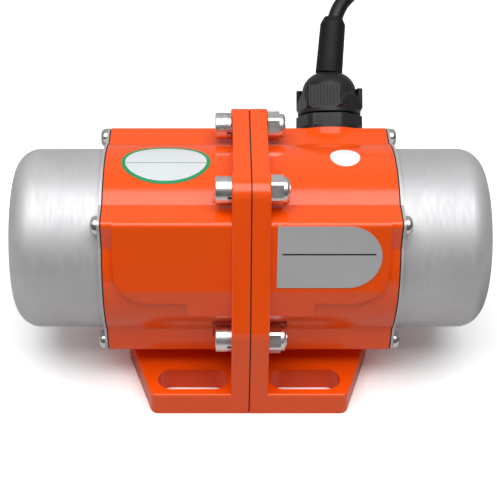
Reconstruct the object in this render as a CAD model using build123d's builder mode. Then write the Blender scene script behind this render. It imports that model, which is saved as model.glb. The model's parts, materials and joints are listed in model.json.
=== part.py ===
from build123d import *
import os
from math import cos, pi, radians, sin, tan

os.makedirs("parts", exist_ok=True)

# Housing: two die-cast halves that meet at the joint plane, X = 0, each a barrel with four corner ribs
axis_height = 49.5
rib_half = 30.4
barrel_rise = 5.6
barrel_radius = rib_half + barrel_rise
rib_round = 0.9
rib_front_round = 2.2
housing_end = 53.0
housing_wall = 6.0
stator_radius = barrel_radius - housing_wall
joint_gasket_thickness = 0.5
gasket_inset = 0.3
stator_seat_depth = 17.1
stator_ledge = 1.5
cavity_radius = stator_radius - stator_ledge
end_wall_inner = 42.0
end_wall_outer = 46.5
hub_wall = 3.6
hub_inner_end = 36.5
end_recess_step = 1.0
end_recess_radius = cavity_radius + end_recess_step
shaft_opening_radius = 8.0

# Flange round the joint, with four through bolts
flange_rise = 7.7
flange_top = barrel_radius + flange_rise
flange_crown = 6.4
flange_leg = 6.9
crown_half = 17.5
flange_shoulder = (rib_half + 0.2, rib_half + 0.6)
flange_knee = -10.0
foot_reach = 14.6
foot_front = rib_half + foot_reach
flange_corner_round = 7.5
flange_knee_round = 10.0
flange_edge_round = 0.7
bolt_inset = 5.95
upper_bolt = (20.3, flange_top - bolt_inset)
lower_bolt = (barrel_radius, -19.0)
bolt_radius = 2.95
bolt_hole_radius = 3.3
spotface_radius = 7.2
spotface_depth = 6.8

# Feet: a pedestal under the barrel and a slotted tab to the front and the rear
pedestal_half_width = 14.2
pedestal_end = 46.8
foot_thickness = 9.7
foot_front_end = 36.7
foot_corner_round = 3.0
foot_edge_round = 1.0
slot_pitch_x = 42.5
slot_pitch_y = 73.0
slot_length = 26.8
slot_width = 10.5

# Plate pad on the front of each half, leaning back a little and standing proud of the barrel
pad_rise = 1.3
pad_depth = barrel_radius + pad_rise
pad_break = 4.8
pad_bottom = -0.7
pad_step_bottom = -6.7
pad_end = 49.2
pad_step_end = 23.0
pad_corner_round = 13.0
pad_step_round = 1.2
pad_root = 22.0

# End caps, drawn from sheet, with a square flange and a gasket
cap_step = 2.0
cap_radius = barrel_radius - cap_step
cap_sheet = 0.9
cap_end = 88.0
cap_corner_round = 9.0
cap_gasket_thickness = 0.5
cap_screw_inset = 2.9
cap_screw_half = rib_half - cap_screw_inset
cap_screw_radius = 1.95
tapped_hole_radius = 2.0
cap_hole_radius = 2.3
cap_screw_length = 8.0
cap_screw_head_radius = 3.5
cap_screw_head_height = 2.5
recess_width = 0.9
recess_length = 4.0
recess_depth = 1.2

# Flange fasteners
bolt_head_radius = 5.0
bolt_head_height = 4.4
bolt_socket_flats = 5.0
bolt_socket_depth = 2.4
spring_washer_radius = 4.9
spring_washer_thickness = 1.5
spring_washer_split = 0.9
nut_flats = 10.0
nut_height = 6.5
nut_collar_height = 2.1
nut_collar_radius = 4.6
bolt_tip = 0.2

# Stator and rotor
stator_half_length = 17.0
stator_bore = 16.2
stator_slots = 12
back_iron = 4.6
slot_root = stator_radius - back_iron
slot_mouth_width = 1.8
slot_body_width = 4.2
slot_body_start = 18.0
winding_clearance = 0.2
winding_overhang = 10.3
winding_inner = 17.6
winding_lap = 1.0
winding_outer = slot_root + winding_lap
winding_round = 2.6
rotor_radius = 15.8
rotor_half_length = 17.0
rotor_bars = 14
bar_radius = 1.3
bar_circle_radius = 13.6
end_ring_length = 4.0
end_ring_inner = 9.6
cast_clearance = 0.02

# Shaft, bearings and weights
shaft_middle_radius = 7.0
shaft_radius = 6.0
shaft_room = 9.0
shaft_end = cap_end - shaft_room
shaft_chamfer = 0.8
bearing_start = 38.5
bearing_width = 10.0
bearing_radius = 16.0
fit_clearance = 0.01
inner_ring_outer = 8.7
outer_ring_inner = 13.3
ball_radius = 2.9
ball_circle_radius = 11.0
groove_clearance = 0.08
balls = 7
cage_inner = 10.3
cage_outer = 11.7
cage_width = 7.2
shim_thickness = 0.7
shim_clearance = 0.1
spacer_radius = 7.5
weight_room = 7.0
weight_radius = cap_radius - weight_room
weight_hub_radius = 11.0
weight_stand_off = 4.1
weight_start = housing_end + weight_stand_off
weight_gap = 0.3
weight_half_angle = 78.0
weight_bore_clearance = 0.03
weight_screw_radius = 2.5
weight_screw_length = 7.0
weight_screw_socket = 2.5
circlip_thickness = 1.0
shaft_tip = 2.3
weight_thickness = (shaft_end - shaft_tip - circlip_thickness - 2 * weight_gap - weight_start) / 2
circlip_radius = 8.2
circlip_groove = 0.5
circlip_gap = 3.0

# Cable gland on the rear upper corner of the right half, leaning back from upright
gland_x = 32.1
gland_lean = 43.0
gland_set_back = 11.5
gland_seat = 42.7
gland_boss_radius = 13.2
gland_stub_radius = 7.9
gland_stub_length = 9.5
gland_stub_clearance = 0.1
gland_rim_radius = 12.9
gland_rim_end = 44.0
gland_flats = 23.6
gland_hex_end = 48.5
gland_body_turn = 9.0
gland_mark_radius = 1.4
gland_mark_bore = 0.9
gland_mark_height = 0.3
gland_mark_place = (-3.0, 46.3)
gland_bore = 4.0
gland_collar_radius = 9.6
gland_collar_bore = 8.5
gland_collar_end = 56.0
gland_nut_start = 49.3
gland_nut_rim_radius = 12.4
gland_nut_rim_end = 50.6
gland_nut_shoulder = 53.4
gland_nut_neck = 57.6
gland_nut_neck_radius = 10.9
gland_nut_band = 60.1
gland_nut_end = 65.6
gland_nut_clearance = 0.2
gland_nut_flats = 23.2
gland_nut_turn = 13.5
gland_dome_radius = 10.4
gland_dome_curve = 8.8
gland_lip_radius = 5.7
gland_corner_radius = 13.0
gland_grip_width = 12.2
gland_grip_height = 1.8
gland_grip_proud = 0.15
gland_grip_start = 51.6
gland_grip_end = 59.7
gland_groove_pitch = 1.3
gland_grooves = 9
gland_groove_width = 0.6
gland_groove_depth = 0.5
seal_start = 49.5
seal_end = 59.6

# Cord and what is on it
cord_radius = 3.0
cord_clearance = 0.15
inlet_start = 36.0
sleeve_gap = 0.6
sleeve_length = 22.4
sleeve_radius = 5.3
sleeve_shoulder = 2.8
sleeve_shoulder_radius = 4.95
sleeve_tip_radius = 3.6
sleeve_tip_round = 1.6
sleeve_turn = 5.0
cord_lap = 8.0
cord_bend_start = 3.0
wire_radius = 0.8
wire_pitch = 1.75
wire_depth = 18.0
wire_bend = 2.0
coil_centre = (144.0, -8.0)
coil_entry = (-30.0, 13.0)
coil_exit = (28.0, 16.0)
coil_lift = 0.6
coil_round = 2.0
coil_mean_radius = 29.0
coil_rows = 2
coil_layers = 2
tie_width = 9.0
tie_thickness = 0.5
tie_clearance = 0.05
tie_side_clearance = 0.5
tie_angle = 300.0
plug_place = (162.0, 42.0)
plug_height_above_floor = 7.1
plug_tail_start_radius = 3.6
plug_tail_end_radius = 5.2
plug_tail_length = 13.0
plug_waist = 17.0
plug_width = 25.0
plug_height = 14.0
plug_length = 27.0
plug_pin_pitch = 19.0
plug_pin_radius = 2.0
plug_pin_length = 19.0

motor_axis = Axis((0, 0, axis_height), (1, 0, 0))
joint_face = joint_gasket_thickness / 2
stator_seat_radius = stator_radius + 0.02
bearing_bore = bearing_radius + fit_clearance
bearing_end = bearing_start + bearing_width
lip_face = bearing_end + shim_thickness + shim_clearance
cap_plate_start = housing_end + cap_gasket_thickness
cap_plate_end = cap_plate_start + cap_sheet
cap_bore = cap_radius - cap_sheet
bolt_places = [(s * y, z) for y, z in (upper_bolt, lower_bolt) for s in (-1, 1)]


def across(x):
    """The plane square to the shaft at x, whose own axes run along Y and Z from the motor's axis."""
    return Plane(origin=(x, 0, axis_height), x_dir=(0, 1, 0), z_dir=(1, 0, 0))


def lengthwise():
    """The upright plane through the shaft, whose own axes run along X and Z from the joint."""
    return Plane(origin=(0, 0, axis_height), x_dir=(1, 0, 0), z_dir=(0, -1, 0))


gland_direction = Vector(0, sin(radians(gland_lean)), cos(radians(gland_lean)))
gland_back = Vector(0, cos(radians(gland_lean)), -sin(radians(gland_lean)))
gland_foot = Vector(gland_x, 0, axis_height) + gland_back * gland_set_back


def gland_plane(radius):
    """The plane square to the gland at this distance from the motor's axis."""
    return Plane(origin=gland_foot + gland_direction * radius, x_dir=(1, 0, 0), z_dir=gland_direction)


def beside(foot, direction):
    """The plane through foot whose own y axis runs along this direction, for a section to revolve."""
    side = (Vector(1, 0, 0) - direction * direction.X).normalized()
    return Plane(origin=foot, x_dir=side, z_dir=side.cross(direction))


def save(part, name):
    """Names a finished piece and writes its file."""
    part.label = name
    export_step(part, "parts/" + name + ".step")


def mirrored(part):
    """The same piece on the other side of the joint plane."""
    with BuildPart() as other:
        mirror(part, about=Plane.YZ)
    return other.part


# The four ribs share one square section, whose upper front corner is the roundest
with BuildSketch() as ribs:
    Rectangle(2 * rib_half, 2 * rib_half)
    fillet(ribs.vertices().sort_by_distance((-rib_half, rib_half))[0], rib_front_round)
    fillet([v for v in ribs.vertices() if abs(abs(v.X) - abs(v.Y)) < 0.01], rib_round)

# Name plate pad: its section leans back, and its outline from the front has one large corner
with BuildPart() as plate_pad:
    with BuildSketch(across(joint_face)):
        with BuildLine():
            Polyline(
                (-rib_half, rib_half),
                (-pad_depth, pad_break),
                (-pad_depth, pad_step_bottom),
                (-pad_root, pad_step_bottom),
                (-pad_root, rib_half),
                close=True,
            )
        make_face()
        fillet(vertices().group_by(Axis.X)[1].sort_by(Axis.Y)[-1:], rib_front_round)
    extrude(amount=pad_end - joint_face)
    with BuildSketch(lengthwise()) as pad_outline:
        with BuildLine():
            Polyline(
                (joint_face, rib_half),
                (pad_end, rib_half),
                (pad_end, pad_bottom),
                (pad_step_end, pad_bottom),
                (pad_step_end, pad_step_bottom),
                (joint_face, pad_step_bottom),
                close=True,
            )
        make_face()
        fillet(pad_outline.vertices().sort_by_distance((pad_end, pad_bottom))[0], pad_corner_round)
        fillet(pad_outline.vertices().sort_by_distance((pad_step_end, pad_bottom))[0], pad_step_round)
        fillet(pad_outline.vertices().sort_by_distance((pad_step_end, pad_step_bottom))[0], pad_step_round)
    extrude(amount=pad_depth + 1, mode=Mode.INTERSECT)

# Foot tabs, front and rear, with softened top edges
with BuildPart() as foot_tabs:
    with BuildSketch(Plane.XY) as tab_outline:
        with BuildLine():
            Polyline(
                (joint_face, -foot_front),
                (foot_front_end, -foot_front),
                (pedestal_end, -pedestal_half_width),
                (joint_face, -pedestal_half_width),
                close=True,
            )
        make_face()
        fillet(tab_outline.vertices().sort_by_distance((foot_front_end, -foot_front))[0], foot_corner_round)
    extrude(amount=foot_thickness)
    tab_top = faces().sort_by(Axis.Z)[-1].edges()
    fillet(tab_top.filter_by(lambda e: e.center().X > 1 and e.center().Y < -pedestal_half_width - 1), foot_edge_round)
    mirror(about=Plane.XZ)

# One flange half: thin over the crown, thicker down its two legs, all its outer edges softened
with BuildPart() as flange:
    with BuildSketch(across(joint_face)) as flange_outline:
        shoulder_y, shoulder_z = flange_shoulder
        slope = (foot_front - shoulder_y) / (shoulder_z - flange_knee)
        corner_y = shoulder_y - (flange_top - shoulder_z) * slope
        with BuildLine():
            Polyline(
                (-corner_y, flange_top),
                (-foot_front, flange_knee),
                (-foot_front, -axis_height),
                (foot_front, -axis_height),
                (foot_front, flange_knee),
                (corner_y, flange_top),
                close=True,
            )
        make_face()
        fillet(flange_outline.vertices().group_by(Axis.Y)[-1], flange_corner_round)
        fillet(
            [v for v in flange_outline.vertices() if abs(v.Y - flange_knee) < 0.1],
            flange_knee_round,
        )
    extrude(amount=flange_leg - joint_face)
    outer_face = faces().sort_by(Axis.X)[-1]
    fillet(
        [e for e in outer_face.edges() if e.center().Z > 0.1],
        flange_edge_round,
    )
    with BuildSketch(across(flange_crown)):
        with Locations((0, flange_top)):
            Rectangle(2 * crown_half, 2 * flange_top)
    extrude(amount=flange_leg, mode=Mode.SUBTRACT)

# The casting that both halves share, before the right one gets its gland boss
with BuildPart() as casting:
    with BuildSketch(across(joint_face)):
        Circle(barrel_radius)
        add(ribs.sketch)
    extrude(amount=housing_end - joint_face)
    with BuildSketch(Plane.XY):
        with Locations((joint_face, 0)):
            Rectangle(
                pedestal_end - joint_face,
                2 * pedestal_half_width,
                align=(Align.MIN, Align.CENTER),
            )
    extrude(amount=axis_height - barrel_radius / 2)
    add(foot_tabs.part)
    add(plate_pad.part)
    with BuildSketch(across(flange_leg)):
        with Locations(*bolt_places):
            Circle(spotface_radius)
    extrude(amount=spotface_depth, mode=Mode.SUBTRACT)
    add(flange.part)
    with BuildSketch(across(0)):
        with Locations(*bolt_places):
            Circle(bolt_hole_radius)
    extrude(amount=flange_leg + 1, mode=Mode.SUBTRACT)
    with BuildSketch(Plane.XY):
        with GridLocations(slot_pitch_x, slot_pitch_y, 2, 2):
            SlotOverall(slot_length, slot_width)
    extrude(amount=foot_thickness, mode=Mode.SUBTRACT)
    with BuildSketch(lengthwise()):
        with BuildLine():
            Polyline(
                (0, 0),
                (0, stator_seat_radius),
                (stator_seat_depth, stator_seat_radius),
                (stator_seat_depth, cavity_radius),
                (end_wall_inner, cavity_radius),
                (end_wall_inner, bearing_bore + hub_wall),
                (hub_inner_end, bearing_bore + hub_wall),
                (hub_inner_end, bearing_bore),
                (lip_face, bearing_bore),
                (lip_face, shaft_opening_radius),
                (housing_end + 1, shaft_opening_radius),
                (housing_end + 1, 0),
                close=True,
            )
        make_face()
    revolve(axis=motor_axis, mode=Mode.SUBTRACT)
    with BuildSketch(across(end_wall_outer)):
        Circle(end_recess_radius)
        Circle(bearing_bore + hub_wall, mode=Mode.SUBTRACT)
    extrude(amount=housing_end, mode=Mode.SUBTRACT)
    with BuildSketch(across(housing_end - cap_screw_length)):
        with GridLocations(2 * cap_screw_half, 2 * cap_screw_half, 2, 2):
            Circle(tapped_hole_radius)
    extrude(amount=cap_screw_length + 1, mode=Mode.SUBTRACT)

left_housing = mirrored(casting.part)
save(left_housing, "left_housing")

# Right housing: the same casting with the round gland boss and its threaded hole
gland_hole_start = bearing_bore + hub_wall + fit_clearance
with BuildPart() as right_housing:
    add(casting.part)
    with BuildSketch(gland_plane(gland_hole_start)):
        Circle(gland_boss_radius)
    extrude(amount=gland_seat - gland_hole_start)
    with BuildSketch(lengthwise()):
        with BuildLine():
            Polyline(
                (stator_seat_depth, bearing_bore + hub_wall),
                (stator_seat_depth, cavity_radius),
                (end_wall_inner, cavity_radius),
                (end_wall_inner, bearing_bore + hub_wall),
                close=True,
            )
        make_face()
    revolve(axis=motor_axis, mode=Mode.SUBTRACT)
    with BuildSketch(gland_plane(gland_hole_start)):
        Circle(gland_stub_radius + gland_stub_clearance)
    extrude(amount=gland_seat, mode=Mode.SUBTRACT)
save(right_housing.part, "right_housing")

# Joint gasket between the halves
with BuildPart() as joint_gasket:
    with BuildSketch(across(-joint_face)):
        add(flange_outline.sketch_local)
        offset(amount=-gasket_inset, mode=Mode.REPLACE)
        Circle(stator_seat_radius + gasket_inset, mode=Mode.SUBTRACT)
        with Locations(*bolt_places):
            Circle(bolt_hole_radius, mode=Mode.SUBTRACT)
    extrude(amount=joint_gasket_thickness)
save(joint_gasket.part, "joint_gasket")

# End cap: a drawn cup on a flange that follows the casting's end
with BuildPart() as end_cap:
    with BuildSketch(across(cap_plate_start)) as cap_plate:
        Circle(barrel_radius)
        add(ribs.sketch)
        Circle(cap_bore, mode=Mode.SUBTRACT)
        with GridLocations(2 * cap_screw_half, 2 * cap_screw_half, 2, 2):
            Circle(cap_hole_radius, mode=Mode.SUBTRACT)
    extrude(amount=cap_sheet)
    with BuildSketch(lengthwise()) as cup_wall:
        with BuildLine():
            Polyline(
                (cap_plate_start, cap_bore),
                (cap_plate_start, cap_radius),
                (cap_end, cap_radius),
                (cap_end, 0),
                (cap_end - cap_sheet, 0),
                (cap_end - cap_sheet, cap_bore),
                close=True,
            )
        make_face()
        fillet(cup_wall.vertices().sort_by_distance((cap_end, cap_radius))[0], cap_corner_round)
        fillet(
            cup_wall.vertices().sort_by_distance((cap_end - cap_sheet, cap_bore))[0],
            cap_corner_round - cap_sheet,
        )
    revolve(axis=motor_axis)
save(end_cap.part, "right_end_cap")
save(mirrored(end_cap.part), "left_end_cap")

# Cap gasket
with BuildPart() as cap_gasket:
    with BuildSketch(across(housing_end)):
        add(cap_plate.sketch_local)
        with BuildSketch(mode=Mode.PRIVATE) as trimmed:
            Circle(barrel_radius)
            add(ribs.sketch)
            offset(amount=-gasket_inset, mode=Mode.REPLACE)
        add(trimmed.sketch_local, mode=Mode.INTERSECT)
    extrude(amount=cap_gasket_thickness)
save(cap_gasket.part, "right_cap_gasket")
save(mirrored(cap_gasket.part), "left_cap_gasket")

# Cap screws: pan heads with a cross recess
with BuildPart() as cap_screws:
    with BuildSketch(across(cap_plate_end)):
        with GridLocations(2 * cap_screw_half, 2 * cap_screw_half, 2, 2):
            Circle(cap_screw_head_radius)
    extrude(amount=cap_screw_head_height)
    fillet(edges().group_by(Axis.X)[-1], cap_screw_head_height * 0.72)
    with BuildSketch(across(cap_plate_end + cap_screw_head_height - recess_depth)):
        with GridLocations(2 * cap_screw_half, 2 * cap_screw_half, 2, 2):
            Rectangle(recess_length, recess_width)
            Rectangle(recess_width, recess_length)
    extrude(amount=recess_depth + 1, mode=Mode.SUBTRACT)
    with BuildSketch(across(cap_plate_end)):
        with GridLocations(2 * cap_screw_half, 2 * cap_screw_half, 2, 2):
            Circle(cap_screw_radius)
    extrude(amount=-(cap_screw_length - 1))
save(cap_screws.part, "right_cap_screws")
save(mirrored(cap_screws.part), "left_cap_screws")

# Flange bolts, put in from the left, with spring washers under their heads and lock nuts on the right
washer_face = -flange_leg - spring_washer_thickness
with BuildPart() as flange_bolts:
    with BuildSketch(across(washer_face)):
        with Locations(*bolt_places):
            Circle(bolt_head_radius)
    extrude(amount=-bolt_head_height)
    fillet(edges().group_by(Axis.X)[0], 0.5)
    with BuildSketch(across(washer_face - bolt_head_height)):
        with Locations(*bolt_places):
            RegularPolygon(bolt_socket_flats / 2, 6, major_radius=False)
    extrude(amount=bolt_socket_depth, mode=Mode.SUBTRACT)
    with BuildSketch(across(washer_face)):
        with Locations(*bolt_places):
            Circle(bolt_radius)
    extrude(amount=flange_leg + nut_height + bolt_tip - washer_face)
save(flange_bolts.part, "flange_bolts")

with BuildPart() as spring_washers:
    with BuildSketch(across(washer_face)):
        with Locations(*bolt_places):
            Circle(spring_washer_radius)
            Circle(bolt_radius + fit_clearance, mode=Mode.SUBTRACT)
        with Locations(*[(y - spring_washer_radius, z) for y, z in bolt_places]):
            Rectangle(2 * (spring_washer_radius - bolt_radius + 1), spring_washer_split, mode=Mode.SUBTRACT)
    extrude(amount=spring_washer_thickness)
save(spring_washers.part, "spring_washers")

with BuildPart() as flange_nuts:
    with BuildSketch(across(flange_leg)):
        with Locations(*bolt_places):
            RegularPolygon(nut_flats / 2, 6, major_radius=False)
    extrude(amount=nut_height - nut_collar_height)
    with BuildSketch(across(flange_leg)):
        with Locations(*bolt_places):
            Circle(nut_flats / 2 * 1.1)
    extrude(amount=nut_height - nut_collar_height, mode=Mode.INTERSECT)
    with BuildSketch(across(flange_leg + nut_height - nut_collar_height)):
        with Locations(*bolt_places):
            Circle(nut_collar_radius)
    extrude(amount=nut_collar_height)
    fillet(edges().group_by(Axis.X)[-1], nut_collar_height * 0.6)
    with BuildSketch(across(flange_leg)):
        with Locations(*bolt_places):
            Circle(bolt_radius + fit_clearance)
    extrude(amount=nut_height, mode=Mode.SUBTRACT)
save(flange_nuts.part, "flange_nuts")

# Stator core: slotted laminations clamped between the shoulders of the two halves
with BuildPart() as stator_core:
    with BuildSketch(across(-stator_half_length)):
        Circle(stator_radius)
        Circle(stator_bore, mode=Mode.SUBTRACT)
        with PolarLocations(0, stator_slots):
            with Locations(((slot_root + slot_body_start) / 2, 0)):
                Rectangle(slot_root - slot_body_start, slot_body_width, mode=Mode.SUBTRACT)
            with Locations((slot_body_start, 0)):
                Rectangle(2 * (slot_body_start - stator_bore) + 1, slot_mouth_width, mode=Mode.SUBTRACT)
    extrude(amount=2 * stator_half_length)
save(stator_core.part, "stator_core")

# Windings: a coil side in each slot and a bound ring of end turns at each end
with BuildPart() as stator_windings:
    with BuildSketch(across(stator_half_length + winding_clearance)):
        Circle(winding_outer)
        Circle(winding_inner, mode=Mode.SUBTRACT)
    extrude(amount=winding_overhang)
    fillet(edges().filter_by(GeomType.CIRCLE).group_by(Axis.X)[-1], winding_round)
    mirror(about=Plane.YZ)
    with BuildSketch(across(-stator_half_length - 1)):
        with PolarLocations(0, stator_slots):
            with Locations(((slot_root + slot_body_start) / 2, 0)):
                Rectangle(
                    slot_root - slot_body_start - 2 * winding_clearance,
                    slot_body_width - 2 * winding_clearance,
                )
    extrude(amount=2 * stator_half_length + 2)
save(stator_windings.part, "stator_windings")

# Rotor core with closed holes for its cast cage
with BuildPart() as rotor_core:
    with BuildSketch(across(-rotor_half_length)):
        Circle(rotor_radius)
        Circle(shaft_middle_radius + fit_clearance, mode=Mode.SUBTRACT)
        with PolarLocations(bar_circle_radius, rotor_bars):
            Circle(bar_radius, mode=Mode.SUBTRACT)
    extrude(amount=2 * rotor_half_length)
save(rotor_core.part, "rotor_core")

with BuildPart() as rotor_cage:
    with BuildSketch(across(rotor_half_length)):
        Circle(rotor_radius)
        Circle(end_ring_inner, mode=Mode.SUBTRACT)
    extrude(amount=end_ring_length)
    mirror(about=Plane.YZ)
    with BuildSketch(across(-rotor_half_length)):
        with PolarLocations(bar_circle_radius, rotor_bars):
            Circle(bar_radius - cast_clearance)
    extrude(amount=2 * rotor_half_length)
save(rotor_cage.part, "rotor_cage")

# Shaft: thick under the rotor, with a shoulder for each bearing and a circlip groove at each end
outer_weight_start = weight_start + weight_thickness + weight_gap
outer_weight_end = outer_weight_start + weight_thickness
circlip_start = outer_weight_end + weight_gap
with BuildPart() as shaft:
    with BuildSketch(lengthwise()) as shaft_profile:
        with BuildLine():
            Polyline(
                (0, 0),
                (0, shaft_middle_radius),
                (bearing_start, shaft_middle_radius),
                (bearing_start, shaft_radius),
                (circlip_start - 0.05, shaft_radius),
                (circlip_start - 0.05, shaft_radius - circlip_groove),
                (circlip_start + circlip_thickness + 0.05, shaft_radius - circlip_groove),
                (circlip_start + circlip_thickness + 0.05, shaft_radius),
                (shaft_end - shaft_chamfer, shaft_radius),
                (shaft_end, shaft_radius - shaft_chamfer),
                (shaft_end, 0),
                close=True,
            )
        make_face()
    revolve(axis=motor_axis)
    mirror(about=Plane.YZ)
save(shaft.part, "shaft")

# Circlips: open rings in the grooves
with BuildPart() as circlips:
    with BuildSketch(across(circlip_start)):
        Circle(circlip_radius)
        Circle(shaft_radius - circlip_groove + 0.05, mode=Mode.SUBTRACT)
        with Locations((0, circlip_radius)):
            Rectangle(circlip_gap, circlip_radius, mode=Mode.SUBTRACT)
    extrude(amount=circlip_thickness)
    mirror(about=Plane.YZ)
save(circlips.part, "circlips")

# Ball bearings: two rings with a groove each, the balls and their cage
bearing_middle = bearing_start + bearing_width / 2
groove_radius = ball_radius + groove_clearance
with BuildPart() as bearing_inner:
    with BuildSketch(lengthwise()) as inner_section:
        with Locations((bearing_middle, (shaft_radius + fit_clearance + inner_ring_outer) / 2)):
            Rectangle(bearing_width, inner_ring_outer - shaft_radius - fit_clearance)
        with Locations((bearing_middle, ball_circle_radius)):
            Circle(groove_radius, mode=Mode.SUBTRACT)
    revolve(axis=motor_axis)
with BuildPart() as bearing_outer:
    with BuildSketch(lengthwise()):
        with Locations((bearing_middle, (bearing_radius + outer_ring_inner) / 2)):
            Rectangle(bearing_width, bearing_radius - outer_ring_inner)
        with Locations((bearing_middle, ball_circle_radius)):
            Circle(groove_radius, mode=Mode.SUBTRACT)
    revolve(axis=motor_axis)
with BuildPart() as bearing_balls:
    with Locations(across(bearing_middle)):
        with PolarLocations(ball_circle_radius, balls):
            Sphere(ball_radius)
with BuildPart() as bearing_cage:
    with BuildSketch(across(bearing_middle - cage_width / 2)):
        Circle(cage_outer)
        Circle(cage_inner, mode=Mode.SUBTRACT)
    extrude(amount=cage_width)
    with Locations(across(bearing_middle)):
        with PolarLocations(ball_circle_radius, balls):
            Cylinder(groove_radius, 4 * (cage_outer - cage_inner), rotation=(0, 90, 0), mode=Mode.SUBTRACT)
for piece, name in (
    (bearing_inner, "bearing_inner_ring"),
    (bearing_outer, "bearing_outer_ring"),
    (bearing_balls, "bearing_balls"),
    (bearing_cage, "bearing_cage"),
):
    save(piece.part, "right_" + name)
    save(mirrored(piece.part), "left_" + name)

# Between the outer ring and the lip: a wave washer on the right and a plain shim on the left
with BuildPart() as wave_washer:
    with BuildSketch(across(bearing_end + shim_clearance / 2)):
        Circle(bearing_radius - 0.2)
        Circle(outer_ring_inner - 0.5, mode=Mode.SUBTRACT)
    extrude(amount=shim_thickness)
save(wave_washer.part, "wave_washer")
save(mirrored(wave_washer.part), "bearing_shim")

# Spacer sleeves from each inner ring to the inner weight
with BuildPart() as spacer_sleeves:
    with BuildSketch(across(bearing_end + 0.05)):
        Circle(spacer_radius)
        Circle(shaft_radius + fit_clearance, mode=Mode.SUBTRACT)
    extrude(amount=weight_start - bearing_end - 0.1)
    mirror(about=Plane.YZ)
save(spacer_sleeves.part, "spacer_sleeves")


def weight(start):
    """An eccentric weight: a hub on the shaft and a heavy sector below it, with a tapped hole in the hub."""
    with BuildPart() as piece:
        with BuildSketch(across(start)):
            with BuildLine():
                rim = CenterArc((0, 0), weight_radius, -90 - weight_half_angle, 2 * weight_half_angle)
                Polyline(rim @ 1, (0, 0), rim @ 0)
            make_face()
            Circle(weight_hub_radius)
            Circle(shaft_radius + weight_bore_clearance, mode=Mode.SUBTRACT)
        extrude(amount=weight_thickness)
        middle = start + weight_thickness / 2
        with BuildSketch(Plane.XY.offset(axis_height)):
            with Locations((middle, 0)):
                Circle(weight_screw_radius + 0.05)
        extrude(amount=weight_hub_radius + 1, mode=Mode.SUBTRACT)
    return piece.part


def weight_screw(start):
    """The socket set screw that locks a weight to the shaft."""
    with BuildPart() as piece:
        middle = start + weight_thickness / 2
        with BuildSketch(Plane.XY.offset(axis_height + shaft_radius + 0.05)):
            with Locations((middle, 0)):
                Circle(weight_screw_radius)
        extrude(amount=weight_screw_length)
        with BuildSketch(Plane.XY.offset(axis_height + shaft_radius + 0.05 + weight_screw_length)):
            with Locations((middle, 0)):
                RegularPolygon(weight_screw_socket / 2, 6, major_radius=False)
        extrude(amount=-weight_screw_socket, mode=Mode.SUBTRACT)
    return piece.part


inner_weight = weight(weight_start)
outer_weight = weight(outer_weight_start)
save(inner_weight, "right_inner_weight")
save(mirrored(inner_weight), "left_inner_weight")
save(outer_weight, "right_outer_weight")
save(mirrored(outer_weight), "left_outer_weight")
with BuildPart() as inner_weight_screws:
    add(weight_screw(weight_start))
    mirror(about=Plane.YZ)
save(inner_weight_screws.part, "inner_weight_screws")
outer_screw = weight_screw(outer_weight_start)
save(outer_screw, "right_outer_weight_screw")
save(mirrored(outer_screw), "left_outer_weight_screw")

# Gland body: a threaded stub in the boss, a rimmed hexagon with a moulded ring on its front flat,
# and a collar that holds the seal
facet_angle = radians(-90 - gland_body_turn)
facet_out = Vector(1, 0, 0) * cos(facet_angle) + gland_back * sin(facet_angle)
facet_side = Vector(1, 0, 0) * -sin(facet_angle) + gland_back * cos(facet_angle)
mark_side, mark_radius = gland_mark_place
gland_facet = Plane(
    origin=gland_foot
    + gland_direction * mark_radius
    + facet_out * (gland_flats / 2)
    + facet_side * mark_side,
    x_dir=facet_side,
    z_dir=facet_out,
)
with BuildPart() as gland_body:
    with BuildSketch(gland_plane(gland_seat)):
        RegularPolygon(gland_flats / 2, 6, major_radius=False, rotation=-gland_body_turn)
    extrude(amount=gland_hex_end - gland_seat)
    with BuildSketch(gland_plane(gland_seat)):
        Circle(gland_corner_radius)
    extrude(amount=gland_hex_end - gland_seat, mode=Mode.INTERSECT)
    with BuildSketch(gland_plane(gland_seat)):
        Circle(gland_rim_radius)
    extrude(amount=gland_rim_end - gland_seat)
    with BuildSketch(gland_facet):
        Circle(gland_mark_radius)
        Circle(gland_mark_bore, mode=Mode.SUBTRACT)
    extrude(amount=gland_mark_height)
    with BuildSketch(gland_plane(gland_seat - gland_stub_length)):
        Circle(gland_stub_radius)
    extrude(amount=gland_stub_length)
    with BuildSketch(gland_plane(gland_hex_end)):
        Circle(gland_collar_radius)
    extrude(amount=gland_collar_end - gland_hex_end)
    with BuildSketch(gland_plane(seal_start)):
        Circle(gland_collar_bore)
    extrude(amount=gland_collar_end - seal_start, mode=Mode.SUBTRACT)
    with BuildSketch(gland_plane(gland_seat - gland_stub_length)):
        Circle(gland_bore)
    extrude(amount=gland_collar_end, mode=Mode.SUBTRACT)
save(gland_body.part, "gland_body")

with BuildPart() as gland_seal:
    with BuildSketch(gland_plane(seal_start)):
        Circle(gland_collar_bore - 0.1)
        Circle(cord_radius + cord_clearance / 3, mode=Mode.SUBTRACT)
    extrude(amount=seal_end - seal_start)
    chamfer(edges().group_by(Axis(gland_plane(0).origin, gland_direction))[-1].sort_by(SortBy.LENGTH)[-1], 1.5)
save(gland_seal.part, "gland_seal")

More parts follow.
